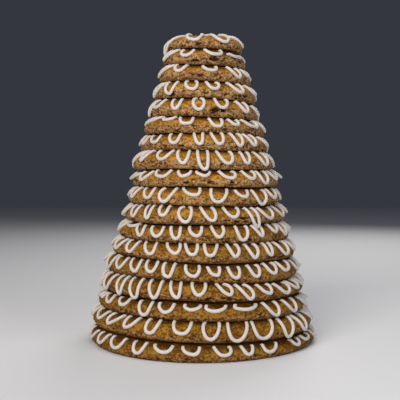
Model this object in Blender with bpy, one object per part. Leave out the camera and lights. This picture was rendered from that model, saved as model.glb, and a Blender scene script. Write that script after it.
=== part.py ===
"""Kransekake: eighteen baked almond rings stacked into a tapering tower with an open middle.

Every ring is a hand-rolled rope of dough, baked in a round form: flat underneath, domed on top.
The rings are numbered from the top, ring_01 being the smallest. The origin is the centre of the
base, +Z is up, and all sizes are in metres.
"""

import math
import random

import bmesh
import bpy

MM = 0.001

# The tower.
TOP_RADIUS = 37.0 * MM
BASE_RADIUS = 106.0 * MM
RING_PITCH = 16.0 * MM
SEAT_GAP = 0.3 * MM

# Each ring's own rim spread and rise in the oven, over the even taper and pitch, in mm, top first.
SPREAD_AND_RISE = (
    (0.0, -3.0),
    (-2.0, -1.0),
    (-2.0, -0.4),
    (-1.0, 0.0),
    (-1.5, 0.8),
    (-1.0, -1.0),
    (0.0, -0.4),
    (0.5, 0.6),
    (-0.5, -0.4),
    (-1.0, 0.2),
    (-1.0, 0.2),
    (-1.0, 0.0),
    (1.5, -0.5),
    (1.0, 0.8),
    (2.5, -0.7),
    (0.5, 0.2),
    (2.5, 0.7),
    (0.0, -0.3),
)
RING_COUNT = len(SPREAD_AND_RISE)

# The rope's section: a flat foot, a tight lower edge and a dome over the widest line.
ROPE_WIDTH = 27.0 * MM
FOOT_SHARE = 0.80
WIDEST_HEIGHT = 0.27
LOWER_EDGE = (0.955, 0.09)
DOME_STEPS = 6
DOME_POWER = 1.9

# How evenly the rings were rolled and stacked: waves of a few orders round each ring, every one
# drawn a little weaker or stronger than its rule says.
WAVE_STRENGTH = (0.6, 1.2)
OUTLINE_ORDERS = (2, 3, 5)
OUTLINE_SWELL = 0.9 * MM
WIDTH_ORDERS = (2, 4, 5)
WIDTH_SWELL = 0.06
HEIGHT_ORDERS = (2, 3, 4)
HEIGHT_SWELL = 0.5 * MM
LEAN_TO_RIGHT = 3.2 * MM
CENTRE_SLIP = 0.6 * MM
SAG_TO_RIGHT = 1.1 * MM
SAG_PERIOD = 11
SAG_CREST = 3.5
SEED = 1804

# The facets.
FACET_LENGTH = 16.0 * MM
FEWEST_FACETS = 20
MERGE_DISTANCE = 0.01 * MM
SHARP_ANGLE = math.radians(60)

CRUST_COLOUR = (0.33, 0.165, 0.052, 1.0)
CRUST_ROUGHNESS = 0.8


def clear_scene():
    for obj in list(bpy.data.objects):
        bpy.data.objects.remove(obj, do_unlink=True)


def crust_material():
    material = bpy.data.materials.new("almond_crust")
    material.use_nodes = True
    shader = material.node_tree.nodes["Principled BSDF"]
    shader.inputs["Base Color"].default_value = CRUST_COLOUR
    shader.inputs["Roughness"].default_value = CRUST_ROUGHNESS
    shader.inputs["Metallic"].default_value = 0.0
    return material


def harmonics(rng, orders, swell):
    """Waves round the ring, as (order, amplitude, phase), the higher orders weaker."""
    waves = []
    for order in orders:
        amplitude = swell / math.sqrt(order) * rng.uniform(*WAVE_STRENGTH)
        waves.append((order, amplitude, rng.uniform(0, math.tau)))
    return waves


def wave(parts, angle):
    return sum(amplitude * math.cos(order * angle + phase) for order, amplitude, phase in parts)


def sag(index):
    """How much lower than level the ring's crest lies on the right, where the tower has settled."""
    turn = math.tau * (index - SAG_CREST) / SAG_PERIOD
    return SAG_TO_RIGHT * (1 + math.cos(turn))


def rope_section(half_width):
    """Points (across, up) round the section, up as a share of its height, starting at the foot."""
    foot = FOOT_SHARE * half_width
    edge, edge_up = LOWER_EDGE[0] * half_width, LOWER_EDGE[1]
    points = [(-foot, 0.0), (foot, 0.0), (edge, edge_up)]
    for step in range(DOME_STEPS + 1):
        turn = math.pi * step / DOME_STEPS
        reach = abs(math.cos(turn)) ** (2 / DOME_POWER)
        lift = math.sin(turn) ** (2 / DOME_POWER)
        across = math.copysign(half_width * reach, math.cos(turn))
        points.append((across, WIDEST_HEIGHT + (1 - WIDEST_HEIGHT) * lift))
    points.append((-edge, edge_up))
    return points


def spun_ring(centre_radius, section):
    """The section spun round Z into a closed ring, with its heights still shares from 0 to 1."""
    facets = max(FEWEST_FACETS, round(math.tau * centre_radius / FACET_LENGTH))
    shape = bmesh.new()
    corners = [shape.verts.new((centre_radius + across, 0.0, up)) for across, up in section]
    sides = [shape.edges.new((a, b)) for a, b in zip(corners, corners[1:] + corners[:1])]
    bmesh.ops.spin(
        shape,
        geom=corners + sides,
        cent=(0, 0, 0),
        axis=(0, 0, 1),
        angle=math.tau,
        steps=facets,
        use_merge=True,
    )
    bmesh.ops.remove_doubles(shape, verts=shape.verts, dist=MERGE_DISTANCE)
    bmesh.ops.recalc_face_normals(shape, faces=shape.faces)
    return shape


def knead(shape, centre_radius, outline, width, foot_at, crest_at, centre):
    """Gives the spun ring its hand-rolled swells, and sets it between its foot and its crest."""
    for corner in shape.verts:
        angle = math.atan2(corner.co.y, corner.co.x)
        across = math.hypot(corner.co.x, corner.co.y) - centre_radius
        radius = centre_radius + wave(outline, angle) + across * (1 + wave(width, angle))
        x, y = radius * math.cos(angle), radius * math.sin(angle)
        bearing = math.atan2(y + centre[1], x + centre[0])
        foot, crest = foot_at(bearing), crest_at(bearing)
        corner.co = (x, y, foot + (crest - foot) * corner.co.z)


def ring_object(name, shape, centre, parent, material):
    mesh = bpy.data.meshes.new(name)
    shape.to_mesh(mesh)
    shape.free()
    mesh.shade_smooth()
    mesh.set_sharp_from_angle(angle=SHARP_ANGLE)
    mesh.materials.append(material)
    ring = bpy.data.objects.new(name, mesh)
    ring.location = centre
    ring.parent = parent
    bpy.context.scene.collection.objects.link(ring)
    return ring


def level(_bearing):
    return 0.0


def seam(height, swell, tilt, gap=0.0):
    """The height of a seam between two rings as a function of bearing."""
    return lambda bearing: height + gap + wave(swell, bearing) - tilt * math.cos(bearing)


def stack_rings(parent, material):
    """Builds the rings from the base up, each seated on the crest of the one below."""
    rng = random.Random(SEED)
    taper = (BASE_RADIUS - TOP_RADIUS) / (RING_COUNT - 1)
    foot_at = level
    seam_height = 0.0
    rings = []
    for index in reversed(range(RING_COUNT)):
        spread, rise = (value * MM for value in SPREAD_AND_RISE[index])
        rim_radius = TOP_RADIUS + taper * index + spread
        centre_radius = rim_radius - ROPE_WIDTH / 2
        seam_height += RING_PITCH + rise
        outline = harmonics(rng, OUTLINE_ORDERS, OUTLINE_SWELL)
        width = harmonics(rng, WIDTH_ORDERS, WIDTH_SWELL)
        swell = harmonics(rng, HEIGHT_ORDERS, HEIGHT_SWELL)
        climb = 1 - index / (RING_COUNT - 1)
        centre = (
            LEAN_TO_RIGHT * climb + rng.uniform(-CENTRE_SLIP, CENTRE_SLIP),
            rng.uniform(-CENTRE_SLIP, CENTRE_SLIP),
            0.0,
        )
        crest_at = seam(seam_height, swell, sag(index))
        shape = spun_ring(centre_radius, rope_section(ROPE_WIDTH / 2))
        knead(shape, centre_radius, outline, width, foot_at, crest_at, centre)
        rings.append(ring_object(f"ring_{index + 1:02d}", shape, centre, parent, material))
        foot_at = seam(seam_height, swell, sag(index), SEAT_GAP)
    return rings


def centre_on_base(rings, parent):
    """Moves the tower so that the middle of its outline stands on the origin."""
    bpy.context.view_layer.update()
    corners = [ring.matrix_world @ corner.co for ring in rings for corner in ring.data.vertices]
    for axis in (0, 1):
        along = [corner[axis] for corner in corners]
        parent.location[axis] -= (min(along) + max(along)) / 2


def main():
    clear_scene()
    tower = bpy.data.objects.new("kransekake", None)
    bpy.context.scene.collection.objects.link(tower)
    rings = stack_rings(tower, crust_material())
    centre_on_base(rings, tower)


main()
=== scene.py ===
"""Kransekake ring cake: baked crust, piped icing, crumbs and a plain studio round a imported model.

The rings of the model give every place and size. Each ring's crust is a fine mesh with the same
section, roughened and torn by Geometry Nodes. The icing is one closed thread a ring, piped in loops
over its shoulder. Bearings are in degrees from the front, positive to the right, and +Z is up.
"""

import functools
import math
import random

import bpy
import numpy as np
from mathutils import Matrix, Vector
from mathutils.bvhtree import BVHTree


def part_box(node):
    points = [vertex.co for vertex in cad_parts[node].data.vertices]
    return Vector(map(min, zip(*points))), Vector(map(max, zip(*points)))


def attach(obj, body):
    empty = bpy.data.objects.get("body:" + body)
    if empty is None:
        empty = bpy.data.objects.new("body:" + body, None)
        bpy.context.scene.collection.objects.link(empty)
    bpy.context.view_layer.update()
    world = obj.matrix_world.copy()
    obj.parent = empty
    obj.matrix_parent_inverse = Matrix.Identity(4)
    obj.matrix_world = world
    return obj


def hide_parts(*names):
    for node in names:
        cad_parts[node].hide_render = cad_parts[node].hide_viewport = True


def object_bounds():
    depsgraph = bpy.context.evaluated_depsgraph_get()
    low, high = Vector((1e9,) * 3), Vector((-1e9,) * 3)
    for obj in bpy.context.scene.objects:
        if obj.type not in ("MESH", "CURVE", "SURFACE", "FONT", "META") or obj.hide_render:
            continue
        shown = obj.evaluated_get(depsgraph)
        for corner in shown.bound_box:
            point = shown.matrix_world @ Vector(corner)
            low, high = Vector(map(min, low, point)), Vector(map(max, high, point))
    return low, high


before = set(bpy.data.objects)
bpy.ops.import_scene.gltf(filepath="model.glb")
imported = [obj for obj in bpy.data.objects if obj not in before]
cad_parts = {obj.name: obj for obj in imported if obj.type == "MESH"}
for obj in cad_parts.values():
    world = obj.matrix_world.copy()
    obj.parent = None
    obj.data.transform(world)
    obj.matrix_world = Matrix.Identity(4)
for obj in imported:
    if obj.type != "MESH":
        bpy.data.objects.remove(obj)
CAD_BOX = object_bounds()

bl_info = {
    "name": "Kransekake Ring Cake",
    "version": (1, 0, 0),
    "blender": (4, 5, 0),
    "location": "3D View > Sidebar > Kransekake",
    "description": "Bakes, ices and lights a tower of almond rings",
    "category": "Object",
}

MM = 0.001
RINGS = sorted(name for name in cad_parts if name.startswith("ring_"))
BODY = "root"
FRONT = -math.pi / 2

# The rope's section, as the rings are modelled: shares of its half width and of its height.
FOOT_SHARE = 0.80
WIDEST_HEIGHT = 0.27
DOME_POWER = 1.9
NOMINAL_HALF_WIDTH = 13.5 * MM
NOMINAL_HEIGHT = 16.0 * MM

# How softly the crust turns smooth at its lower edge and at the seam above it, and how far in over the
# crest the ring above covers it, as a share of the way to the widest line.
EDGE_FADE = 1.0 * MM
SEAM_FADE = 3.0 * MM
COVERED_INWARD = 0.6

# The icing plan, top ring first. Each loop that shows at the front is the bearings of its left arm at
# the seam, its bottom and its right arm at the seam, and how many millimetres it hangs below the seam.
FRONT_LOOPS = (
    ((-80, -82, -58, 19), (-33, -15, -5, 9.5), (13, 29, 34, 10.5), (60, 78, 82, 10)),
    ((-60, -72, -45, 10), (-36, -29, -17, 7), (-1, 16, 24, 6), (38, 57, 64, 3)),
    ((-58, -77, -48, 10.5), (-44, -35, -27, 7.5), (-4, 8, 13.5, 5.5), (34, 48, 51, 10), (64, 73, 78, 7)),
    ((-66, -76, -55, 13), (-51, -42, -36, 12), (-22.5, -14.5, -12, 9), (1, 10, 13, 7.5),
     (30, 43.5, 47, 9.5), (62, 75, 80, 8.5)),
    ((-74, -78, -66, 14), (-68, -60, -50, 8), (-35.5, -29.5, -24.5, 9.5), (-8, -5, -3, 11),
     (12.5, 19.5, 26.5, 9), (39, 47.5, 51, 10), (66, 78, 80, 9)),
    ((-62, -70, -50, 6), (-46, -40, -31, 4), (-25, -17.5, -11.5, 7), (4, 12, 16.5, 9),
     (24, 31.5, 34, 6.5), (41, 56, 60, 8), (66, 82, 78, 11)),
    ((-78, -72, -66, 8), (-58, -50, -45, 8), (-33, -26, -22, 10), (-9, -3.5, -1, 11), (7, 13, 17, 11),
     (25.5, 31.5, 34.5, 12), (40.5, 47, 50, 11), (62, 74, 76, 9.5)),
    ((-72, -80, -63, 10), (-61, -61.5, -53, 9.5), (-42, -36, -27.5, 8.5), (-22, -15.5, -12, 11.5),
     (-5, 1, 3.5, 16.5), (11.5, 19.5, 23.5, 11), (33.5, 36.5, 41, 10.5), (49, 58, 61, 12),
     (68, 80, 78, 12.5)),
    ((-72, -80, -62, 6.5), (-58, -56, -45, 8.5), (-41, -34.5, -27, 7), (-20.5, -15.5, -10.5, 6),
     (-6, -0.5, 4, 5), (11.5, 19, 22, 7.5), (31, 37.5, 41, 8), (45.5, 51.5, 56, 11.5), (62, 71, 74, 9),
     (78, 86, 85, 9)),
    ((-78, -82, -72, 8), (-70, -65, -60, 10), (-51, -44, -41, 10), (-31, -29.5, -21, 12.5),
     (-15.5, -7.5, -3.5, 7), (5, 9, 17, 11.5), (23.5, 29, 33.5, 6.5), (38.5, 45, 50, 13.5),
     (55, 60.5, 66, 9), (72, 80, 82, 10)),
    ((-78, -78, -68, 10), (-61, -55.5, -52, 10.5), (-43.5, -39.5, -38, 11.5), (-32, -27.5, -25, 9),
     (-14.5, -12, -10.5, 13.5), (-3, 5, 5, 11.5), (13, 19.5, 23, 9), (29.5, 37.5, 35.8, 18),
     (41, 51, 53, 10.5), (60, 71, 74, 9.5), (78, 86, 86, 9)),
    ((-76, -78, -66, 10), (-66, -58, -50, 4), (-50, -44.3, -43, 10.3), (-36, -31.2, -27.5, 9.4),
     (-22.3, -17.6, -15.5, 10.7), (-9.7, -5, -1.5, 8.5), (4.8, 9.2, 12.5, 9), (21, 24.5, 29, 12.2),
     (34.3, 39.3, 40, 9.3), (50, 54, 58, 7.5), (61, 67, 70, 10.5), (72, 78, 80, 9)),
    ((-80, -84, -74, 9), (-70, -67.5, -59.5, 11), (-54.5, -50, -45.5, 11.3), (-40, -33, -31.5, 11),
     (-24, -16.6, -15.5, 9), (-11.7, -6.3, -4.3, 9.5), (0.5, 3.5, 8.3, 9.8), (14.5, 17.7, 20, 10.6),
     (26.5, 30.2, 33, 12.4), (41, 42, 46.5, 11.2), (52, 58.5, 63, 12), (69, 75, 79, 9.5)),
    ((-79, -72.5, -66, 12.3), (-62, -56.5, -52, 9.8), (-47, -41, -39, 10.6), (-34.5, -29.3, -27, 9.5),
     (-21.7, -18.6, -15.5, 12), (-9.3, -4.5, -1.4, 9.6), (3.2, 7.8, 9.7, 7.6), (15, 18.8, 21.3, 9.4),
     (27, 31.3, 33, 9.4), (38.3, 43.3, 45, 8.8), (49, 55.3, 59.5, 8), (66, 74, 78, 10)),
    ((-84, -80, -74, 14), (-71, -66, -60, 14.5), (-53, -49.2, -47.5, 15.5), (-42.5, -37.4, -35.5, 17),
     (-29.3, -25.3, -22.5, 15), (-17.8, -13.2, -12, 13.4), (-5.8, -2.2, 1.5, 10.3),
     (7.3, 12.8, 11.5, 9.7), (18, 24.8, 23, 13.2), (31, 36.8, 38, 9.3), (43, 51.5, 52, 10.5),
     (54, 64, 62, 9), (66, 75, 74, 8.5), (78, 86, 86, 9)),
    ((-80, -77, -71, 6), (-70, -69, -65.5, 6), (-63.5, -58, -55.5, 7.7), (-48.5, -45.3, -41, 7),
     (-33, -30.2, -26, 12), (-21.7, -18.2, -14, 8), (-8.3, -5.2, -0.3, 5), (2.5, 6.2, 12.5, 5.7),
     (18, 22, 29, 5), (34, 40.3, 42, 11.8), (49, 55.8, 57.5, 11.5), (67, 76, 73, 11), (76, 86, 84, 5.5)),
    ((-82, -80, -74, 9.5), (-69, -64.5, -58.5, 7.5), (-52, -52.3, -43.5, 8.5), (-39.5, -38.3, -32.5, 8.8),
     (-26.5, -24.6, -20.8, 10.8), (-13.7, -9.4, -5, 9.3), (1.6, 3.8, 8.6, 12.3), (12.9, 16, 22.8, 14),
     (25.8, 29.6, 37, 14), (42, 45.5, 50.3, 16), (53.5, 60.5, 61, 14.5), (69, 77, 75, 10),
     (79, 88, 87, 8)),
    ((-80, -77, -68, 9.5), (-61.5, -60.3, -54, 9.4), (-49.5, -45.7, -40.5, 9), (-33.8, -31.6, -27.5, 9),
     (-22.7, -18.4, -14.2, 6), (-9.2, -5, -1.5, 6.7), (5, 10, 12.3, 7.7), (18.3, 21.6, 24, 7.5),
     (30, 33, 38, 7.4), (48.5, 52.5, 54, 6.6), (58, 63.5, 66, 5.5), (72, 78, 80, 8.5)),
)

# Loops unlike the rest: by ring number and bearing of the bottom, how many millimetres their left and
# their right side bulge out, and how far their bottom stands off the crust.
QUIRKS = {
    1: {29: (0, 1.8, 0)},
    4: {-14.5: (1.5, 1.5, 0), 10: (0, 2.1, 0)},
    5: {-5: (3.2, 3.2, 0)},
    9: {-80: (0, 0, 1.5), 19: (0, 1.4, 0), 86: (0, 0, 2.6)},
    10: {-29.5: (1, 0.5, 0)},
    11: {-78: (0, 0, 2), -12: (3.6, 2.4, 0), 5: (0, 0.5, 0), 86: (0, 0, 1.6)},
    12: {24.5: (0, 0.7, 0)},
    13: {17.7: (0, 1.4, 0), 30.2: (0, 0.7, 0)},
    14: {-18.6: (0.7, 0, 0), 31.3: (0, 0.7, 0), 43.3: (0, 1, 0)},
    15: {-49.2: (1, 0, 0), 12.8: (0, 2.8, 0), 24.8: (0, 2.1, 0), 36.8: (0, 0.7, 0), 51.5: (0, 1, 0)},
    16: {22: (1.4, 1.4, 0), 76: (0, 0, 2), 86: (0, 0, 3)},
    17: {-24.6: (0.7, 0.7, 0), 3.8: (1.3, 0.6, 0)},
    18: {10: (0, 0.7, 0)},
}

# Rings that came out fuller at one bearing: the bearing, how wide the swell is in degrees, and how
# many millimetres it stands out.
SWELLS = {9: (86, 24, 2.6), 11: (86, 22, 1.8)}

# Cavities torn in the side of a ring: by ring number, each one's bearing, its height over the foot as a
# share of the ring's, and half its width and half its height in millimetres.
CAVITIES = {
    2: ((13.5, 0.36, 5.0, 3.6), (-15, 0.14, 5.0, 2.0)),
    4: ((-43, 0.24, 5.5, 2.6), (52, 0.3, 3.5, 1.8)),
    5: ((12.5, 0.4, 4.2, 2.8), (20, 0.38, 2.2, 2.0)),
    7: ((-20, 0.2, 3.0, 1.4),),
    9: ((-14, 0.2, 2.6, 1.4), (21, 0.3, 2.0, 1.4)),
    12: ((-34, 0.15, 3.0, 1.4), (30, 0.2, 2.6, 1.4)),
}

# Rings are baked paler above the first of these numbers and darker below the second.
TOASTED_FROM_TO = (8.0, 15.0)

# The icing's thread: how many waves it wobbles in, how many of its points the shortest and the longest
# wave span, and as shares of its thickness, how uneven it is and how much thicker at a loop's bottom.
WOBBLE_WAVES = 8
WOBBLE_SHORTEST, WOBBLE_LONGEST = 12, 60
THREAD_UNEVENNESS = 0.045
THREAD_GAIN_AT_BOTTOM = 0.05

# How the thread sinks into the crust under the ring above: where it begins to, over what distance, and
# how deep as a share of its thickness.
UNDER_FROM = 0.6 * MM
UNDER_FADE = 3.0 * MM
UNDER_SINK = 0.95

# How far a loop at the back may stray from even spacing, from upright, and from the usual width and
# drop, all as shares, how wide it may be against the spacing, and its bulges and stands in millimetres.
SPACING_STRAY = 0.15
LEAN_STRAY = 0.4
WIDTH_STRAY = 0.2
DROP_STRAY = 0.25
WIDEST_LOOP = 0.36
BACK_BULGES = (0.0, 0.0, 0.0, 1.0)
BACK_STANDS = (0.0, 0.0, 1.0, 2.0)

# Where each random sequence starts, and how far the crust's noise moves on from ring to ring.
LOOP_SEED = 1000
WOBBLE_SEED = 2000
CRUMB_SEED = 41
FLECK_SEED = 61
CRUST_SEED_STEP = 3.7


class Graph:
    """Adds nodes to a tree. An input may be given as a socket to link or as a plain value."""

    def __init__(self, tree):
        self.tree = tree

    def feed(self, socket, value):
        if isinstance(value, bpy.types.NodeSocket):
            self.tree.links.new(value, socket)
        else:
            socket.default_value = value

    def node(self, kind, inputs=None, **settings):
        node = self.tree.nodes.new(kind)
        for name, value in settings.items():
            setattr(node, name, value)
        for name, value in (inputs or {}).items():
            self.feed(node.inputs[name], value)
        return node

    def out(self, kind, inputs=None, **settings):
        """The first output of a new node."""
        return self.node(kind, inputs, **settings).outputs[0]

    def math(self, operation, *values):
        return self.out("ShaderNodeMath", dict(enumerate(values)), operation=operation)

    def chain(self, operation, values):
        return functools.reduce(lambda so_far, value: self.math(operation, so_far, value), values)

    def add(self, *values):
        return self.chain("ADD", values)

    def times(self, *values):
        return self.chain("MULTIPLY", values)

    def inverse(self, value, whole=1.0):
        return self.math("SUBTRACT", whole, value)

    def swing(self, value):
        """A noise value moved from 0..1 to -0.5..0.5."""
        return self.math("SUBTRACT", value, 0.5)

    def ramp(self, value, low, high):
        """0 at low and 1 at high, with smooth ends. Low may be the larger one."""
        inputs = {"Value": value, "From Min": low, "From Max": high}
        return self.out("ShaderNodeMapRange", inputs, interpolation_type="SMOOTHSTEP")

    def scaled(self, vector, factors):
        inputs = {0: vector, 1: factors}
        return self.out("ShaderNodeVectorMath", inputs, operation="MULTIPLY")

    def noise(self, vector, size, seed=0.0, detail=2.0, roughness=0.5):
        """Noise from 0 to 1 whose lumps are about the given size across, in metres."""
        linked = isinstance(size, bpy.types.NodeSocket)
        scale = self.math("DIVIDE", 1.0, size) if linked else 1.0 / size
        inputs = {"Vector": vector, "W": seed, "Scale": scale, "Detail": detail, "Roughness": roughness}
        return self.out("ShaderNodeTexNoise", inputs, noise_dimensions="4D")


class Surface(Graph):
    """A material's tree, with its shader."""

    def __init__(self, name):
        self.material = bpy.data.materials.new(name)
        self.material.use_nodes = True
        super().__init__(self.material.node_tree)
        self.shader = self.tree.nodes["Principled BSDF"]
        self.place = self.node("ShaderNodeTexCoord").outputs["Object"]

    def attribute(self, name):
        return self.node("ShaderNodeAttribute", attribute_name=name).outputs["Fac"]

    def grit(self, size):
        """Random values from 0 to 1, one for each grain of about the given size."""
        inputs = {"Vector": self.place, "Scale": 1.0 / size}
        grains = self.node("ShaderNodeTexVoronoi", inputs).outputs["Color"]
        return self.out("ShaderNodeSeparateColor", {"Color": grains})

    def mix(self, share, first, second, blend="MIX"):
        """A colour between two. A mix node's colours are its inputs 6 and 7 and its output 2."""
        inputs = {0: share, 6: first, 7: second}
        return self.node("ShaderNodeMix", inputs, data_type="RGBA", blend_type=blend).outputs[2]

    def set(self, name, value):
        self.feed(self.shader.inputs[name], value)

    def bump(self, height, distance):
        inputs = {"Height": height, "Strength": 1.0, "Distance": distance}
        self.set("Normal", self.out("ShaderNodeBump", inputs))


class GeometryTree(Graph):
    """A Geometry Nodes tree with named inputs."""

    def __init__(self, name, sockets):
        super().__init__(bpy.data.node_groups.new(name, "GeometryNodeTree"))
        new_socket = self.tree.interface.new_socket
        new_socket("Geometry", in_out="OUTPUT", socket_type="NodeSocketGeometry")
        new_socket("Geometry", in_out="INPUT", socket_type="NodeSocketGeometry")
        for socket, kind in sockets.items():
            new_socket(socket, in_out="INPUT", socket_type=kind)
        self.given = self.node("NodeGroupInput").outputs

    def attribute(self, name, kind="FLOAT"):
        return self.out("GeometryNodeInputNamedAttribute", {"Name": name}, data_type=kind)

    def store(self, geometry, name, value):
        inputs = {"Geometry": geometry, "Name": name, "Value": value}
        kind = "GeometryNodeStoreNamedAttribute"
        return self.out(kind, inputs, data_type="FLOAT", domain="POINT")

    def shift(self, geometry, distance):
        """The geometry with its points moved along their normals."""
        normal = self.out("GeometryNodeInputNormal")
        inputs = {0: normal, "Scale": distance}
        offset = self.out("ShaderNodeVectorMath", inputs, operation="SCALE")
        inputs = {"Geometry": geometry, "Offset": offset}
        return self.out("GeometryNodeSetPosition", inputs)

    def random(self, low, high, seed):
        """A random number. The node's plain numbers are its inputs 2 and 3 and its output 1."""
        inputs = {2: low, 3: high, "Seed": seed}
        return self.node("FunctionNodeRandomValue", inputs, data_type="FLOAT").outputs[1]

    def finish(self, geometry, material):
        """Ends the tree in plain geometry with its material."""
        real = self.out("GeometryNodeRealizeInstances", {"Geometry": geometry})
        coated = self.out("GeometryNodeSetMaterial", {"Geometry": real, "Material": material})
        self.node("NodeGroupOutput", {"Geometry": coated})
        return self.tree


def new_object(name, mesh):
    piece = bpy.data.objects.new(name, mesh)
    bpy.context.scene.collection.objects.link(piece)
    return piece


def shape_by(piece, tree, values):
    """Runs the tree on the piece once and keeps the result, nowhere below the floor, as its mesh."""
    modifier = piece.modifiers.new(tree.name, "NODES")
    modifier.node_group = tree
    for item in tree.interface.items_tree:
        if item.in_out == "INPUT" and item.name in values:
            modifier[item.identifier] = values[item.name]
    depsgraph = bpy.context.evaluated_depsgraph_get()
    shaped = piece.evaluated_get(depsgraph)
    mesh = bpy.data.meshes.new_from_object(shaped, preserve_all_data_layers=True, depsgraph=depsgraph)
    piece.modifiers.remove(modifier)
    places = np.empty(3 * len(mesh.vertices), dtype=np.float32)
    mesh.vertices.foreach_get("co", places)
    places[2::3] = np.maximum(places[2::3], CAD_BOX[0][2])
    mesh.vertices.foreach_set("co", places)
    blank = piece.data
    piece.data = mesh
    bpy.data.meshes.remove(blank)
    if not mesh.polygons:
        raise RuntimeError(f"{piece.name} came out empty")


def float_layer(mesh, name, values):
    layer = mesh.attributes.new(name, "FLOAT", "POINT")
    layer.data.foreach_set("value", np.asarray(values, dtype=np.float32).ravel())


def smooth_step(value, low, high):
    share = np.clip((value - low) / (high - low), 0.0, 1.0)
    return share * share * (3.0 - 2.0 * share)


class Section:
    """The rope's section from its crest over the side to the middle of its foot.

    reach is the distance from the crest along the section, across and up are shares of the half
    width and of the height. The far half is the same, mirrored.
    """

    def __init__(self, steps=200):
        turn = np.linspace(0.0, math.pi / 2, steps)
        power = 2.0 / DOME_POWER
        dome = np.sin(turn) ** power, WIDEST_HEIGHT + (1 - WIDEST_HEIGHT) * np.cos(turn) ** power
        edge = FOOT_SHARE + (1 - FOOT_SHARE) * np.cos(turn), WIDEST_HEIGHT * (1 - np.sin(turn))
        foot = np.linspace(FOOT_SHARE, 0.0, steps), np.zeros(steps)
        parts = [np.array(dome), np.array(edge)[:, 1:], np.array(foot)[:, 1:]]
        self.across, self.up = np.concatenate(parts, axis=1)
        out, rise = np.diff(self.across) * NOMINAL_HALF_WIDTH, np.diff(self.up) * NOMINAL_HEIGHT
        self.reach = np.concatenate([[0.0], np.cumsum(np.hypot(out, rise))])
        self.widest = self.reach[steps - 1]
        self.edge = self.reach[2 * steps - 2]
        self.end = self.reach[-1]
        self.dome = slice(steps)

    def at(self, reach):
        side = np.abs(reach)
        across = np.interp(side, self.reach, self.across) * np.sign(reach)
        return across, np.interp(side, self.reach, self.up)

    def reach_at_height(self, up):
        return np.interp(-up, -self.up[self.dome], self.reach[self.dome])

    def reach_at_across(self, across):
        return np.interp(across, self.across[self.dome], self.reach[self.dome])


SECTION = Section()


class Ring:
    """One ring as smooth functions of the angle round its centre: its edges, foot and crest.

    They are measured at a number of stations round the ring, in passes that each start from the rope's
    middle as the last pass found it, and are kept as a few harmonics.
    """

    STATIONS = 96
    PASSES = 2
    HARMONICS = 8

    def __init__(self, name):
        low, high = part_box(name)
        self.name = name
        self.number = int(name.split("_")[1])
        self.centre = np.array([(low[0] + high[0]) / 2, (low[1] + high[1]) / 2])
        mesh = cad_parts[name].data
        corners = [tuple(corner.co) for corner in mesh.vertices]
        self.tree = BVHTree.FromPolygons(corners, [tuple(face.vertices) for face in mesh.polygons])
        outer = (high[0] - low[0] + high[1] - low[1]) / 4
        angles = [math.tau * station / self.STATIONS for station in range(self.STATIONS)]
        lines = [self.measure(angle, outer, low[2], high[2]) for angle in angles]
        waves = np.fft.rfft(np.array(lines), axis=0)[: self.HARMONICS] / self.STATIONS
        waves[1:] *= 2
        self.waves = waves

    def hit(self, start, direction):
        place = self.tree.ray_cast(Vector(start), Vector(direction))[0]
        if place is None:
            raise RuntimeError(f"{self.name} has a gap in it")
        return place

    def measure(self, angle, outer, low, high):
        """Inner edge, outer edge, foot and crest where a half plane at the angle cuts the ring."""
        out_x, out_y = math.cos(angle), math.sin(angle)
        x, y = self.centre
        far = 2 * outer
        middle = outer - NOMINAL_HALF_WIDTH
        above, below = high + NOMINAL_HEIGHT, low - NOMINAL_HEIGHT
        for _ in range(self.PASSES):
            spot_x, spot_y = x + middle * out_x, y + middle * out_y
            crest = self.hit((spot_x, spot_y, above), (0, 0, -1)).z
            foot = self.hit((spot_x, spot_y, below), (0, 0, 1)).z
            level = foot + WIDEST_HEIGHT * (crest - foot)
            rim = self.hit((x + far * out_x, y + far * out_y, level), (-out_x, -out_y, 0))
            hole = self.hit((x, y, level), (out_x, out_y, 0))
            edges = [math.hypot(place.x - x, place.y - y) for place in (hole, rim)]
            middle = sum(edges) / 2
        return [*edges, foot, crest]

    def lines(self, angles):
        order = np.arange(self.HARMONICS)
        turns = np.exp(1j * np.multiply.outer(np.asarray(angles), order))
        lines = np.moveaxis((turns @ self.waves).real, -1, 0).copy()
        if self.number in SWELLS:
            bearing, width, swell = SWELLS[self.number]
            off = np.cos(angles - math.radians(bearing) - FRONT) - 1
            lines[1] += swell * MM * np.exp(off / math.radians(width) ** 2)
        return lines

    def rim(self):
        return float(self.lines(np.zeros(1))[1, 0])

    def surface(self, angles, reach, height=0.0):
        """Points on the rope at these angles and reaches, lifted off it by a height.

        Past the widest line a point goes straight down, as a thread does that hangs free.
        """
        inner, outer, foot, crest = self.lines(angles)
        half, middle, rise = (outer - inner) / 2, (outer + inner) / 2, crest - foot
        kept = np.minimum(reach, SECTION.widest)
        across, up = SECTION.at(kept)
        step = 0.05 * MM
        spot = np.minimum(kept, SECTION.widest - step)
        before, after = SECTION.at(spot - step), SECTION.at(spot + step)
        out, down = (after[0] - before[0]) * half, (after[1] - before[1]) * rise
        length = np.hypot(out, down)
        normal_out, normal_up = -down / length, out / length
        radius = middle + across * half + normal_out * height
        z = foot + up * rise - (reach - kept) + normal_up * height
        cos, sin = np.cos(angles), np.sin(angles)
        places = np.stack([self.centre[0] + radius * cos, self.centre[1] + radius * sin, z], axis=-1)
        normals = np.stack([normal_out * cos, normal_out * sin, normal_up], axis=-1)
        return places, normals


def stacked_rings():
    """Each ring with the one above it, from the top down."""
    rings = [Ring(name) for name in RINGS]
    return zip(rings, [None, *rings])


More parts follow.
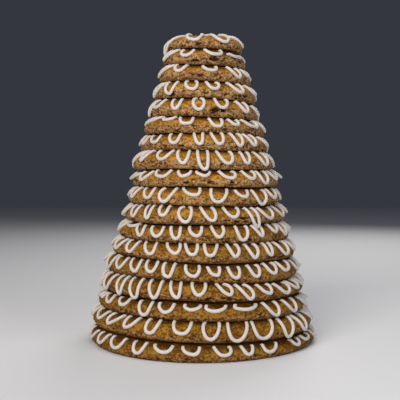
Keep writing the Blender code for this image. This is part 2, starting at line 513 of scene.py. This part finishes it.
def crust_rows(first_fine, cell, coarse):
    """Reaches of the mesh rows round the section: fine on the side that shows, coarse elsewhere."""
    last_fine = SECTION.edge + 2 * cell
    fine = np.linspace(first_fine, last_fine, round((last_fine - first_fine) / cell))
    foot = np.linspace(last_fine, SECTION.end, round((SECTION.end - last_fine) / coarse) + 1)
    hidden_length = SECTION.end + first_fine
    hidden = np.linspace(-SECTION.end, first_fine, round(hidden_length / coarse) + 1)
    return np.concatenate([hidden[1:-1], fine, foot[1:]])


def grid_faces(columns, rows):
    """Quads of a grid that closes on itself both ways."""
    column, row = np.meshgrid(np.arange(columns), np.arange(rows), indexing="ij")
    next_column, next_row = (column + 1) % columns, (row + 1) % rows
    here, there = column * rows, next_column * rows
    corners = (here + row, here + next_row, there + next_row, there + row)
    return np.stack(corners, axis=-1).reshape(-1, 4)


def grid_mesh(name, places):
    """A closed smooth mesh from a grid of points, given as columns of rows of places."""
    columns, rows = places.shape[:2]
    faces = grid_faces(columns, rows)
    mesh = bpy.data.meshes.new(name)
    mesh.vertices.add(columns * rows)
    mesh.vertices.foreach_set("co", places.ravel())
    mesh.loops.add(faces.size)
    mesh.loops.foreach_set("vertex_index", faces.ravel())
    mesh.polygons.add(len(faces))
    mesh.polygons.foreach_set("loop_start", np.arange(0, faces.size, 4))
    mesh.polygons.foreach_set("loop_total", np.full(len(faces), 4))
    mesh.update(calc_edges=True)
    mesh.shade_smooth()
    return mesh


def crust_blank(ring, above, settings):
    """The ring's smooth mesh, with the layers that tell the baked crust what each place is.

    skin is above 1 on the golden skin and below 0 on the rough side. bare is 0 where a ring rests on
    another or on its foot, low is 1 under the lower edge (a toasted rim and painted crevice shade), tuck
    is 1 just under the ring above (painted shade), and toast goes from 0 on the upper rings to 1 on the
    lower ones.
    """
    columns = round(math.tau * ring.rim() / settings.cell)
    first_fine = settings.seam_reach if above else -SECTION.widest
    reach = crust_rows(first_fine, settings.cell, settings.coarse_cell)
    angles = np.linspace(0.0, math.tau, columns, endpoint=False) + math.pi / 2
    inner, outer, foot, crest = (line[:, None] for line in ring.lines(angles))
    across, up = SECTION.at(reach)
    radius = (inner + outer) / 2 + across[None, :] * (outer - inner) / 2
    x = ring.centre[0] + radius * np.cos(angles)[:, None]
    y = ring.centre[1] + radius * np.sin(angles)[:, None]
    z = foot + up[None, :] * (crest - foot)
    mesh = grid_mesh(f"crust_{ring.number:02d}", np.stack([x, y, z], axis=-1))

    share = (ring.number - 1) / (len(RINGS) - 1)
    skin_end = settings.skin_reach + share * settings.skin_gain
    skin = 1 - (np.abs(reach) - skin_end) / settings.skin_edge
    bare = 1 - smooth_step(np.abs(reach), SECTION.edge - EDGE_FADE, SECTION.edge)
    # tuck marks where shade is painted on the crust just under the ring above.
    tuck = np.zeros(len(reach))
    if above:
        seam = seam_reach(ring, above, angles)[:, None]
        tuck = np.where(reach > 0, 1 - smooth_step(reach - seam, 0.0, settings.painted_shade_reach), 0.0)
        seam_end = settings.seam_reach + SEAM_FADE
        covered = (reach > -SECTION.widest * COVERED_INWARD) & (reach < seam_end)
        opening = smooth_step(reach, settings.seam_reach, seam_end)
        bare *= np.where(covered, opening, 1.0)
    # low marks the lower edge, darkened both as a toasted rim and as painted shade in the crevice.
    low = smooth_step(np.abs(reach), SECTION.widest - EDGE_FADE, SECTION.edge)
    toast = np.full(len(reach), smooth_step(ring.number, *TOASTED_FROM_TO))
    layers = {"skin": skin, "bare": bare, "low": low, "tuck": tuck, "toast": toast}
    layers["torn"] = np.where(reach > 0, torn_layer(ring, angles, outer, up), -1.0)
    for name, values in layers.items():
        float_layer(mesh, name, np.broadcast_to(values, (columns, len(reach))))
    return mesh


def torn_layer(ring, angles, outer, up):
    """1 in the middle of each torn cavity, 0 at its edge and less outside."""
    torn = np.full((len(angles), len(up)), -1.0)
    for bearing, height, half_width, half_height in CAVITIES.get(ring.number, ()):
        turn = (angles - math.radians(bearing) - FRONT + math.pi) % math.tau - math.pi
        along = turn * outer[:, 0] / (half_width * MM)
        rise = (up - height) * NOMINAL_HEIGHT / (half_height * MM)
        torn = np.maximum(torn, 1 - np.hypot(along[:, None], rise[None, :]))
    return np.where(up[None, :] < 1, torn, -1.0)


CRUST_SOCKETS = (
    "Lump size", "Lump height", "Crumb size", "Crumb height", "Pit size", "Pit depth", "Crack size",
    "Crack depth", "Hole size", "Hole depth", "Torn depth", "Ripple height", "Skin thickness", "Seed",
)


def crust_tree(material):
    """Geometry Nodes that roughen a smooth ring: lumps, crumb, pits, cracks, holes and cavities."""
    g = GeometryTree("baked_crust", dict.fromkeys(CRUST_SOCKETS, "NodeSocketFloat"))
    given, seed = g.given, g.given["Seed"]
    place = g.out("GeometryNodeInputPosition")
    flat = g.scaled(place, (1.0, 1.0, 2.6))
    bare = g.attribute("bare")

    ragged = g.times(g.swing(g.noise(place, 6 * MM, seed, 3.0)), 2.6)
    skin = g.ramp(g.add(g.attribute("skin"), ragged), 0.0, 1.0)
    side = g.inverse(skin)

    lumps = g.times(g.swing(g.noise(place, given["Lump size"], seed)), given["Lump height"])
    ripple_noise = g.noise(place, 4.5 * MM, g.add(seed, 3.0), 3.0)
    ripples = g.times(g.swing(ripple_noise), given["Ripple height"])
    crumb_noise = g.noise(place, given["Crumb size"], g.add(seed, 7.0), 4.0, 0.62)
    crumb = g.times(g.swing(crumb_noise), given["Crumb height"], g.add(side, 0.12))

    pit_noise = g.noise(place, given["Pit size"], g.add(seed, 11.0), 2.0)
    pits = g.times(g.ramp(pit_noise, 0.59, 0.67), g.add(g.times(side, 0.88), 0.12))
    crack_noise = g.noise(flat, given["Crack size"], g.add(seed, 17.0), 2.5)
    crack_line = g.ramp(g.math("ABSOLUTE", g.swing(crack_noise)), 0.04, 0.0)
    crack_patch = g.ramp(g.noise(place, 15 * MM, g.add(seed, 23.0)), 0.42, 0.56)
    cracks = g.times(crack_line, crack_patch, g.add(g.times(side, 0.92), 0.08))
    hole_noise = g.noise(flat, given["Hole size"], g.add(seed, 29.0), 1.5)
    holes = g.times(g.ramp(hole_noise, 0.61, 0.68), side)

    torn_edge = g.times(g.swing(g.noise(place, 3 * MM, g.add(seed, 31.0), 3.0)), 1.3)
    torn = g.ramp(g.add(g.attribute("torn"), torn_edge), -0.05, 0.15)

    sunk = g.add(
        g.times(torn, given["Torn depth"]),
        g.times(pits, given["Pit depth"]),
        g.times(cracks, given["Crack depth"]),
        g.times(holes, given["Hole depth"]),
        g.times(side, given["Skin thickness"]),
    )
    height = g.times(g.math("SUBTRACT", g.add(lumps, ripples, crumb), sunk), bare)
    # How much shade is painted inside pits, cracks, holes and torn cavities.
    dark = g.math("MINIMUM", g.add(g.times(pits, 0.8), cracks, holes, torn), 1.0)
    geometry = g.store(given["Geometry"], "skin", skin)
    geometry = g.store(geometry, "pit", g.times(dark, bare))
    geometry = g.store(geometry, "crumb", crumb_noise)
    return g.finish(g.shift(geometry, height), material)


def crust_material(settings):
    s = Surface("almond_crust")
    layers = ("skin", "pit", "toast", "crumb", "low", "tuck")
    skin, pit, toast, crumb, low, tuck = map(s.attribute, layers)
    blotch = s.noise(s.place, 13 * MM, 1.0, 3.0, 0.6)
    streak = s.noise(s.scaled(s.place, (1.0, 1.0, 2.4)), 6 * MM, 5.0, 3.0, 0.6)
    mottle = s.noise(s.place, 2.6 * MM, 7.0, 3.0, 0.6)
    grain = s.noise(s.place, 1.2 * MM, 9.0, 4.0, 0.7)
    tone = s.add(s.times(blotch, 0.25), s.times(streak, 0.25), s.times(mottle, 0.3), s.times(grain, 0.2))
    grit = s.swing(s.grit(settings.grain_size))
    tone = s.add(tone, s.times(grit, 0.12))
    golden = s.mix(s.ramp(tone, 0.44, 0.57), settings.skin_dark, settings.skin_light)
    toasted = s.mix(s.ramp(tone, 0.44, 0.58), settings.toast_dark, settings.toast_light)
    golden = s.mix(s.times(toast, 0.85), golden, toasted)

    side_tone = s.add(s.times(streak, 0.4), s.times(crumb, 0.3), s.times(mottle, 0.3))
    side_tone = s.add(side_tone, s.times(grit, 0.25))
    side = s.mix(s.ramp(side_tone, 0.42, 0.58), settings.side_dark, settings.side_light)
    side = s.mix(s.times(toast, 0.45), side, toasted)
    pale = s.ramp(s.noise(s.place, 2.4 * MM, 21.0, 2.0), 0.58, 0.68)
    side = s.mix(s.times(pale, 0.5), side, settings.crumb_pale)
    speck = s.ramp(s.noise(s.place, 2.6 * MM, 15.0, 2.0), 0.58, 0.66)
    side = s.mix(s.times(speck, 0.75), side, settings.speck_and_painted_shade_colour)
    fleck = s.ramp(s.noise(s.place, 2.8 * MM, 33.0, 3.0), 0.6, 0.68)
    burnt = s.times(s.ramp(grit, -0.43, -0.48), s.add(s.times(skin, -0.85), 1.0))
    coats = (
        (skin, golden),
        (s.times(fleck, 0.5), settings.toast_dark),
        (s.times(burnt, 0.8), settings.speck_and_painted_shade_colour),
        # A darker lower edge: partly a toasted rim, partly painted shade in the crevice below it.
        (s.times(low, s.add(s.times(toast, 0.5), 0.3)), settings.toast_dark),
        # Painted shade just under the ring above.
        (s.times(tuck, 0.72), settings.speck_and_painted_shade_colour),
        # Painted shade inside pits, cracks, holes and torn cavities.
        (s.times(pit, 0.95), settings.speck_and_painted_shade_colour),
    )
    colour = side
    for share, coat in coats:
        colour = s.mix(share, colour, coat)
    warmth = s.ramp(s.noise(s.place, 8 * MM, 41.0, 3.0, 0.65), 0.38, 0.62)
    tint = s.mix(warmth, settings.red_tint, settings.yellow_tint)
    colour = s.mix(1.0, colour, tint, "MULTIPLY")
    s.set("Base Color", colour)
    s.set("Roughness", s.add(s.times(skin, -0.22), s.times(grain, 0.12), 0.84))
    s.set("Specular IOR Level", 0.08)
    dust = s.noise(s.place, 0.5 * MM, 27.0, 2.0)
    s.bump(s.add(s.times(mottle, 0.4), s.times(grain, 0.4), s.times(dust, 0.2)), 0.6 * MM)
    return s.material


def icing_loops(ring):
    """The ring's loops round the whole way: left, bottom and right bearings, drop, bulges and stand."""
    rng = random.Random(LOOP_SEED + ring.number)
    front = FRONT_LOOPS[ring.number - 1]
    first, last = front[0][1], front[-1][1]
    spacing = (last - first) / (len(front) - 1)
    behind = round((360 - (last - first)) / spacing)
    gap = (360 - (last - first)) / behind
    half = sum(right - left for left, _, right, _ in front) / len(front) / 2
    usual_drop = sum(loop[3] for loop in front) / len(front)
    quirks = QUIRKS.get(ring.number, {})
    loops = [(*loop, *quirks.get(loop[1], (0, 0, 0))) for loop in front]
    for step in range(1, behind):
        bottom = last + gap * (step + rng.uniform(-SPACING_STRAY, SPACING_STRAY))
        lean = half * rng.uniform(-LEAN_STRAY, LEAN_STRAY)
        width = min(half * rng.uniform(1 - WIDTH_STRAY, 1 + WIDTH_STRAY), gap * WIDEST_LOOP)
        drop = usual_drop * rng.uniform(1 - DROP_STRAY, 1 + DROP_STRAY)
        bulge = rng.choice(BACK_BULGES)
        stand = rng.choice(BACK_STANDS)
        loops.append((bottom - lean - width, bottom, bottom - lean + width, drop, bulge, bulge, stand))
    return loops


def seam_reach(ring, above, angles):
    """How far from the crest the foot of the ring above ends, round the ring."""
    inner, outer, _, _ = ring.lines(angles)
    above_inner, above_outer, _, _ = above.lines(angles)
    half_above = (above_outer - above_inner) / 2
    shift = (above.centre - ring.centre) @ np.stack([np.cos(angles), np.sin(angles)])
    foot_edge = above_outer - (1 - FOOT_SHARE) * half_above + shift
    across = (foot_edge - (inner + outer) / 2) / ((outer - inner) / 2)
    return SECTION.reach_at_across(np.clip(across, 0.0, 1.0))


def loop_path(ring, above, radius, loop, settings):
    """One loop of the thread as (distance round, reach, depth, seam's reach, stand) rows."""
    left, bottom, right = (math.radians(bearing) * radius for bearing in loop[:3])
    drop, *bulges, stand = (value * MM for value in loop[3:])
    middle, half = (left + right) / 2, (right - left) / 2
    angle = np.array([bottom / radius + FRONT])
    seam = float(seam_reach(ring, above, angle)[0]) if above else settings.top_seam
    _, seam_up = SECTION.at(np.array([seam]))
    lowest_up = float(seam_up[0]) - (drop - settings.thread / 2) / NOMINAL_HEIGHT
    lowest = float(SECTION.reach_at_height(max(lowest_up, WIDEST_HEIGHT)))
    lowest += max(0.0, (WIDEST_HEIGHT - lowest_up) * NOMINAL_HEIGHT)
    turn = np.linspace(0.0, math.pi, settings.loop_points)
    power = 2 / settings.squareness
    side = -np.sign(np.cos(turn)) * np.abs(np.cos(turn)) ** power
    depth = np.sin(turn) ** power
    bulge = np.where(side < 0, -bulges[0], bulges[1]) * np.sqrt(np.abs(np.sin(math.pi * depth)))
    along = middle + side * half + (bottom - middle) * depth + bulge
    reach = seam + (lowest - seam) * depth
    return np.stack([along, reach, depth, np.full_like(along, seam), stand * depth**2], axis=-1)


def thread_path(ring, above, settings):
    """The thread's middle line round the ring, its loops joined by turns under the ring above."""
    radius = ring.rim()
    path = [loop_path(ring, above, radius, loop, settings) for loop in icing_loops(ring)]
    rows = []
    for index, loop in enumerate(path):
        rows.append(loop)
        following = path[(index + 1) % len(path)][0].copy()
        if index == len(path) - 1:
            following[0] += math.tau * radius
        start = loop[-1]
        turn = np.linspace(0.0, math.pi, settings.turn_points + 2)[1:-1]
        share = (1 - np.cos(turn)) / 2
        inward = start + (following - start) * share[:, None]
        inward[:, 1] -= settings.tuck * np.sin(turn)
        inward[:, (2, 4)] = 0.0
        rows.append(inward)
    return np.concatenate(rows), radius


def wobble(count, rng, size, orders):
    """A smooth closed random wave with count values."""
    turn = np.linspace(0.0, math.tau, count, endpoint=False)
    total = np.zeros(count)
    for order in orders:
        total += rng.uniform(0.5, 1.0) * np.cos(order * turn + rng.uniform(0.0, math.tau))
    return size * total / math.sqrt(len(orders))


def thread_blank(ring, above, settings):
    """The thread's middle line as a closed run of edges, with its thickness and its way up."""
    rows, radius = thread_path(ring, above, settings)
    rng = random.Random(WOBBLE_SEED + ring.number)
    count = len(rows)
    fewest, most = count // WOBBLE_LONGEST, count // WOBBLE_SHORTEST
    orders = [rng.randint(fewest, most) for _ in range(WOBBLE_WAVES)]
    rows[:, 0] += wobble(count, rng, settings.wobble, orders)
    rows[:, 1] += wobble(count, rng, settings.wobble, orders[::-1])
    uneven = wobble(count, rng, THREAD_UNEVENNESS, orders)
    thickness = settings.thread * (1 + uneven + THREAD_GAIN_AT_BOTTOM * rows[:, 2])
    angles = rows[:, 0] / radius + FRONT
    lift = settings.lift * settings.thread + rows[:, 4]
    if above:
        under = smooth_step(rows[:, 3] + UNDER_FROM - rows[:, 1], 0.0, UNDER_FADE)
        lift = lift - under * settings.thread * UNDER_SINK
    places, normals = ring.surface(angles, rows[:, 1], lift)
    mesh = bpy.data.meshes.new(f"icing_{ring.number:02d}")
    mesh.from_pydata(places.tolist(), [(i, (i + 1) % count) for i in range(count)], [])
    float_layer(mesh, "thickness", thickness)
    upward = mesh.attributes.new("upward", "FLOAT_VECTOR", "POINT")
    upward.data.foreach_set("vector", normals.astype(np.float32).ravel())
    return mesh


def icing_tree(material):
    """Geometry Nodes that pipe a thread along a run of edges."""
    sockets = {"Sides": "NodeSocketInt", "Flatness": "NodeSocketFloat", "Ripple": "NodeSocketFloat"}
    g = GeometryTree("piped_icing", sockets)
    curve = g.out("GeometryNodeMeshToCurve", {"Mesh": g.given["Geometry"]})
    upward = g.attribute("upward", "FLOAT_VECTOR")
    curve = g.out("GeometryNodeSetCurveNormal", {"Curve": curve, "Normal": upward}, mode="FREE")
    circle = g.out("GeometryNodeCurvePrimitiveCircle", {"Resolution": g.given["Sides"], "Radius": 0.5})
    squash = g.out("ShaderNodeCombineXYZ", {"X": g.given["Flatness"], "Y": 1.0, "Z": 1.0})
    profile = g.out("GeometryNodeTransform", {"Geometry": circle, "Scale": squash})
    inputs = {"Curve": curve, "Profile Curve": profile, "Scale": g.attribute("thickness")}
    thread = g.out("GeometryNodeCurveToMesh", inputs)
    place = g.out("GeometryNodeInputPosition")
    ripple = g.times(g.swing(g.noise(place, 3.5 * MM, 2.0, 2.0)), g.given["Ripple"])
    thread = g.out("GeometryNodeSetShadeSmooth", {"Geometry": g.shift(thread, ripple)})
    return g.finish(thread, material)


def icing_material(settings):
    s = Surface("icing")
    cream = s.ramp(s.noise(s.place, 5 * MM, 3.0, 3.0), 0.3, 0.7)
    s.set("Base Color", s.mix(cream, settings.colour, settings.cream))
    s.set("Roughness", 0.5)
    s.set("Specular IOR Level", 0.3)
    s.set("Subsurface Weight", 0.15)
    s.set("Subsurface Radius", (1.0, 0.7, 0.5))
    s.set("Subsurface Scale", 1.5 * MM)
    s.bump(s.noise(s.place, 0.9 * MM, 13.0, 3.0), 0.12 * MM)
    return s.material


def crumb_tree(name, crusts, material, seed, factor_of):
    """Geometry Nodes that strew small lumps over the crusts."""
    g = GeometryTree(name, dict.fromkeys(("Density", "Size", "Spread"), "NodeSocketFloat"))
    info = g.out("GeometryNodeCollectionInfo", {"Collection": crusts}, transform_space="RELATIVE")
    ground = g.out("GeometryNodeRealizeInstances", {"Geometry": info})
    chance = g.times(g.given["Density"], factor_of(g))
    inputs = {"Mesh": ground, "Density": chance, "Seed": seed}
    points = g.node("GeometryNodeDistributePointsOnFaces", inputs).outputs
    lump = g.out("GeometryNodeMeshIcoSphere", {"Radius": 0.5, "Subdivisions": 1})
    size = g.times(g.given["Size"], g.random(0.45, 1.3, seed + 1))
    longer = g.times(size, g.random(0.9, 1.7, seed + 2))
    inputs = {"X": longer, "Y": size, "Z": g.times(size, g.given["Spread"])}
    scale = g.out("ShaderNodeCombineXYZ", inputs)
    inputs = {"Axis": (0.0, 0.0, 1.0), "Angle": g.random(0.0, math.tau, seed + 3)}
    turn = g.out("FunctionNodeAxisAngleToRotation", inputs)
    inputs = {"Rotation": points["Rotation"], 1: turn}
    spin = g.out("FunctionNodeRotateRotation", inputs, rotation_space="LOCAL")
    inputs = {"Points": points["Points"], "Instance": lump, "Rotation": spin, "Scale": scale}
    strewn = g.out("GeometryNodeInstanceOnPoints", inputs)
    return g.finish(strewn, material)


def plain_material(name, light, dark, size):
    s = Surface(name)
    share = s.ramp(s.noise(s.place, size, 4.0, 2.0), 0.35, 0.65)
    s.set("Base Color", s.mix(share, dark, light))
    s.set("Roughness", 0.85)
    return s.material


def hand_over(piece, slot, *nodes):
    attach(piece, BODY)
    if nodes:
        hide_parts(*nodes)


def length(description, millimetres):
    default = millimetres * MM
    return bpy.props.FloatProperty(description=description, default=default, unit="LENGTH", precision=5)


def colour(description, value):
    return bpy.props.FloatVectorProperty(
        description=description, default=(*value, 1.0), size=4, subtype="COLOR", min=0.0, max=1.0
    )


def number(description, value):
    return bpy.props.FloatProperty(description=description, default=value)


def whole_number(description, value):
    return bpy.props.IntProperty(description=description, default=value)


class CrustSettings(bpy.types.PropertyGroup):
    """Sizes and colours of the baked crust."""

    cell: length("Mesh cells on the side that shows", 0.85)
    coarse_cell: length("Mesh cells where rings hide each other", 2.6)
    seam_reach: length("How far from the crest the ring above covers the crust", 3.0)
    skin_reach: length("How far the skin comes down the topmost ring", 13.2)
    skin_gain: length("How much farther it comes down the base ring", 5.0)
    # Painted shade reaches this far below the seam.
    painted_shade_reach: length("How far below a seam the crust is darker", 6.0)
    skin_edge: length("How wide the change from skin to rough side is", 2.4)
    lump_size: length("Size of the hand-rolled lumps", 17.0)
    lump_height: length("Height of the lumps", 2.3)
    ripple_height: length("Height of the fine waves in the skin", 0.6)
    skin_thickness: length("How far the skin stands out over the rough side", 0.4)
    crumb_size: length("Size of the rough crumb", 2.3)
    crumb_height: length("Height of the rough crumb", 1.8)
    grain_size: length("Size of the grains that tint the crust", 1.5)
    pit_size: length("Size of the small pits", 3.6)
    pit_depth: length("Depth of the small pits", 1.0)
    crack_size: length("Spacing of the cracks", 7.5)
    crack_depth: length("Depth of the cracks", 1.0)
    hole_size: length("Size of the few deep holes", 9.0)
    hole_depth: length("Depth of the deep holes", 1.9)
    torn_depth: length("Depth of the torn cavities", 3.2)
    skin_light: colour("Golden skin", (0.50, 0.25, 0.04))
    skin_dark: colour("Browner patches of the skin", (0.25, 0.095, 0.009))
    toast_light: colour("Skin of the base rings", (0.31, 0.15, 0.016))
    toast_dark: colour("Browner patches of the base rings", (0.10, 0.034, 0.0035))
    side_light: colour("Pale rough side", (0.50, 0.285, 0.13))
    side_dark: colour("Browner parts of the rough side", (0.26, 0.125, 0.048))
    crumb_pale: colour("Bits of ground almond", (0.62, 0.44, 0.27))
    red_tint: colour("Multiplies the redder patches", (1.0, 0.93, 0.88))
    yellow_tint: colour("Multiplies the yellower patches", (0.93, 1.0, 0.86))
    # Real dark specks and burnt spots, and painted shade in pits, cracks, cavities and under the ring
    # above.
    speck_and_painted_shade_colour: colour("Inside pits and cracks", (0.028, 0.0065, 0.0012))


class IcingSettings(bpy.types.PropertyGroup):
    """Sizes and colours of the piped icing."""

    thread: length("Thickness of the thread", 3.0)
    tuck: length("How far the thread goes in under the ring above", 4.5)
    top_seam: length("Where the topmost ring's loops turn, from its crest", 1.5)
    wobble: length("How unsteadily the thread is piped", 0.3)
    ripple: length("Unevenness of the thread's surface", 0.25)
    lift: number("Height of the thread's middle over the crust, against its thickness", 0.3)
    flatness: number("Thickness of the thread against its width", 0.9)
    squareness: number("2 is a round loop, more is squarer", 2.2)
    sides: whole_number("Sides of the thread's mesh", 10)
    loop_points: whole_number("Points along each loop", 31)
    turn_points: whole_number("Points along each hidden turn", 7)
    colour: colour("Set sugar icing", (0.645, 0.595, 0.565))
    cream: colour("Creamier parts of the icing", (0.615, 0.555, 0.50))


class CrumbSettings(bpy.types.PropertyGroup):
    """Amounts and sizes of the loose bits in the crust."""

    crumb_density: number("Crumbs on each square metre of rough side", 42000.0)
    crumb_size: length("Size of the crumbs", 1.1)
    fleck_density: number("Flecks of almond skin on each square metre", 9000.0)
    fleck_size: length("Size of the flecks", 1.2)
    crumb_light: colour("Ground almond", (0.40, 0.25, 0.11))
    crumb_dark: colour("Toasted crumb", (0.2, 0.1, 0.035))
    fleck_light: colour("Almond skin", (0.16, 0.07, 0.028))
    fleck_dark: colour("Burnt almond skin", (0.05, 0.02, 0.01))


class StudioSettings(bpy.types.PropertyGroup):
    """The floor, the lights and the camera."""

    floor_size: length("Width of the floor", 6000.0)
    floor_colour: colour("Pale floor", (0.72, 0.72, 0.74))
    backdrop: colour("Colour behind the floor", (0.035, 0.038, 0.05))
    key_power: number("Power of the soft light at the left, in watts", 14.6)
    fill_power: number("Power of the soft light at the right, in watts", 4.7)
    top_power: number("Power of the soft light overhead, in watts", 3.5)
    back_power: number("Power of the soft light behind, in watts", 7.0)
    camera_distance: length("From the tower's axis", 703.0)
    camera_height: length("Above the floor", 153.3)
    camera_aside: length("To the right of the axis", -2.4)
    camera_tilt: bpy.props.FloatProperty(
        description="Downwards", default=math.radians(1.78), subtype="ANGLE"
    )
    lens: number("Focal length in millimetres", 65.95)


class KRANSEKAKE_OT_bake_crust(bpy.types.Operator):
    """Bakes a fine crust over every ring"""

    bl_idname = "kransekake.bake_crust"
    bl_label = "Bake crust"

    def execute(self, context):
        settings = context.scene.kransekake_crust
        shelf = bpy.data.collections.new("crusts")
        context.scene.collection.children.link(shelf)
        tree = crust_tree(crust_material(settings))
        sizes = (name for name in CRUST_SOCKETS if name != "Seed")
        values = {name: getattr(settings, name.lower().replace(" ", "_")) for name in sizes}
        for ring, above in stacked_rings():
            blank = crust_blank(ring, above, settings)
            piece = new_object(blank.name, blank)
            shape_by(piece, tree, {**values, "Seed": CRUST_SEED_STEP * ring.number})
            shelf.objects.link(piece)
            hand_over(piece, "almond_crust", ring.name)
        return {"FINISHED"}


class KRANSEKAKE_OT_pipe_icing(bpy.types.Operator):
    """Pipes a looped thread of icing over the shoulder of every ring"""

    bl_idname = "kransekake.pipe_icing"
    bl_label = "Pipe icing"

    def execute(self, context):
        settings = context.scene.kransekake_icing
        tree = icing_tree(icing_material(settings))
        values = {"Sides": settings.sides, "Flatness": settings.flatness, "Ripple": settings.ripple}
        for ring, above in stacked_rings():
            blank = thread_blank(ring, above, settings)
            piece = new_object(blank.name, blank)
            shape_by(piece, tree, values)
            hand_over(piece, "icing")
        return {"FINISHED"}


class KRANSEKAKE_OT_strew_crumbs(bpy.types.Operator):
    """Strews crumbs and flecks of almond skin over the rough sides of the crust"""

    bl_idname = "kransekake.strew_crumbs"
    bl_label = "Strew crumbs"

    def execute(self, context):
        settings = context.scene.kransekake_crumbs
        crusts = bpy.data.collections["crusts"]

        def rough_side(g):
            open_crust = g.ramp(g.attribute("bare"), 0.5, 1.0)
            outside_pits = g.ramp(g.attribute("pit"), 0.4, 0.0)
            return g.times(g.inverse(g.attribute("skin")), open_crust, outside_pits)

        def all_over(g):
            open_crust = g.ramp(g.attribute("bare"), 0.5, 1.0)
            return g.times(g.inverse(g.attribute("skin"), 1.3), open_crust)

        kinds = (
            ("crumbs", settings.crumb_light, settings.crumb_dark, CRUMB_SEED, rough_side,
             settings.crumb_density, settings.crumb_size, 0.7),
            ("almond_flecks", settings.fleck_light, settings.fleck_dark, FLECK_SEED, all_over,
             settings.fleck_density, settings.fleck_size, 0.35),
        )
        for name, light, dark, seed, factor_of, density, size, spread in kinds:
            material = plain_material(name, light, dark, 2 * MM)
            tree = crumb_tree(name, crusts, material, seed, factor_of)
            piece = new_object(name, bpy.data.meshes.new(name))
            shape_by(piece, tree, {"Density": density, "Size": size, "Spread": spread})
            hand_over(piece, "almond_crust")
        return {"FINISHED"}


def soft_light(name, place, target, power, size, tint):
    light = bpy.data.lights.new(name, "AREA")
    light.shape = "DISK"
    light.size = size
    light.energy = power
    light.color = tint
    lamp = bpy.data.objects.new(name, light)
    lamp.location = place
    lamp.rotation_euler = (Vector(target) - Vector(place)).to_track_quat("-Z", "Y").to_euler()
    bpy.context.scene.collection.objects.link(lamp)


class KRANSEKAKE_OT_set_studio(bpy.types.Operator):
    """Lays the floor and sets the lights and the camera"""

    bl_idname = "kransekake.set_studio"
    bl_label = "Set studio"

    def execute(self, context):
        settings = context.scene.kransekake_studio
        scene = context.scene
        scene.view_settings.view_transform = "Standard"
        half = settings.floor_size / 2
        mesh = bpy.data.meshes.new("floor")
        corners = [(-half, -half, 0), (half, -half, 0), (half, half, 0), (-half, half, 0)]
        mesh.from_pydata(corners, [], [(0, 1, 2, 3)])
        s = Surface("floor")
        s.set("Base Color", settings.floor_colour)
        s.set("Roughness", 0.7)
        mesh.materials.append(s.material)
        new_object("floor", mesh)

        world = bpy.data.worlds.new("backdrop")
        world.use_nodes = True
        world.node_tree.nodes["Background"].inputs["Color"].default_value = settings.backdrop
        scene.world = world

        height = CAD_BOX[1][2] - CAD_BOX[0][2]
        middle = (0.0, 0.0, height / 2)
        soft_light("key", (-0.55, -1.05, 0.75), middle, settings.key_power, 0.8, (1.0, 0.96, 0.9))
        soft_light("fill", (0.85, -0.85, 0.45), middle, settings.fill_power, 0.8, (0.9, 0.95, 1.0))
        soft_light("back", (0.4, 1.1, 0.9), middle, settings.back_power, 0.9, (1.0, 0.98, 0.95))
        soft_light("top", (0.0, -0.1, 1.3), middle, settings.top_power, 0.7, (1.0, 1.0, 1.0))

        lens = bpy.data.cameras.new("camera")
        lens.lens = settings.lens
        lens.sensor_width = 36.0
        camera = bpy.data.objects.new("camera", lens)
        camera.location = (settings.camera_aside, -settings.camera_distance, settings.camera_height)
        camera.rotation_euler = (math.pi / 2 - settings.camera_tilt, 0.0, 0.0)
        scene.collection.objects.link(camera)
        scene.camera = camera
        return {"FINISHED"}


class KRANSEKAKE_PT_maker(bpy.types.Panel):
    """Lists the cake's making steps and their sizes"""

    bl_idname = "KRANSEKAKE_PT_maker"
    bl_label = "Kransekake"
    bl_space_type = "VIEW_3D"
    bl_region_type = "UI"
    bl_category = "Kransekake"

    def draw(self, context):
        for operator, _, holder in STEPS:
            box = self.layout.box()
            box.operator(operator.bl_idname)
            settings = getattr(context.scene, holder)
            for name in settings.bl_rna.properties.keys():
                if name not in {"rna_type", "name"}:
                    box.prop(settings, name, text=name.replace("_", " ").capitalize())


STEPS = (
    (KRANSEKAKE_OT_bake_crust, CrustSettings, "kransekake_crust"),
    (KRANSEKAKE_OT_pipe_icing, IcingSettings, "kransekake_icing"),
    (KRANSEKAKE_OT_strew_crumbs, CrumbSettings, "kransekake_crumbs"),
    (KRANSEKAKE_OT_set_studio, StudioSettings, "kransekake_studio"),
)
CLASSES = (*(kind for step in STEPS for kind in step[:2]), KRANSEKAKE_PT_maker)


def register():
    for kind in CLASSES:
        bpy.utils.register_class(kind)
    for _, kind, holder in STEPS:
        setattr(bpy.types.Scene, holder, bpy.props.PointerProperty(type=kind))


def unregister():
    for _, _, holder in STEPS:
        delattr(bpy.types.Scene, holder)
    for kind in reversed(CLASSES):
        bpy.utils.unregister_class(kind)


def main():
    register()
    bpy.ops.kransekake.bake_crust()
    bpy.ops.kransekake.pipe_icing()
    bpy.ops.kransekake.strew_crumbs()
    bpy.ops.kransekake.set_studio()


if __name__ == "__main__":
    main()
